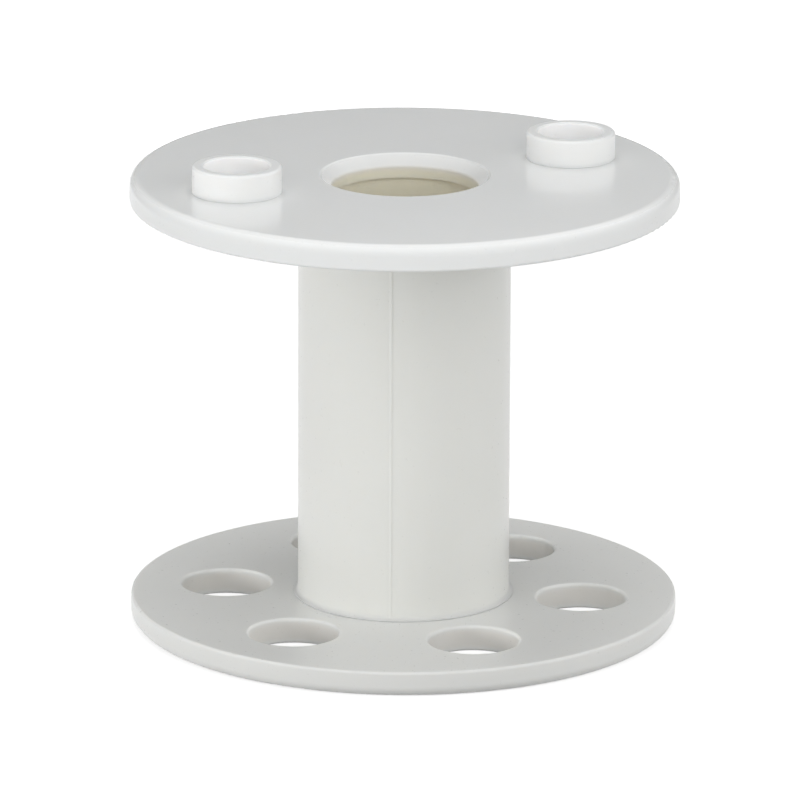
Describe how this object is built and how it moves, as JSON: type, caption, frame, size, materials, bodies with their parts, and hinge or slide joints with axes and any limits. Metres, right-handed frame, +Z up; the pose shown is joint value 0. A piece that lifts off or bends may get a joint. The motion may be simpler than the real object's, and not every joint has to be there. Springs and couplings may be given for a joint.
{
  "type": "thread bobbin",
  "caption": "Empty moulded bobbin: a hollow barrel between round flanges, the upper with hollow stacking pegs, the lower with holes that take them, and a bore for a spindle.",
  "frame": {"origin": "centre of the bottom flange's underside, on the spindle axis", "axes": "+Z up the spindle axis from the holed flange to the pegged flange, X through the pegs"},
  "size_m": [0.0636, 0.0636, 0.0562],
  "materials": {
    "moulded_white": "satin white injection-moulded plastic, slightly translucent"
  },
  "bodies": {
    "root": {"bottom_flange": "moulded_white", "barrel": "moulded_white", "top_flange": "moulded_white"}
  },
  "joints": []
}
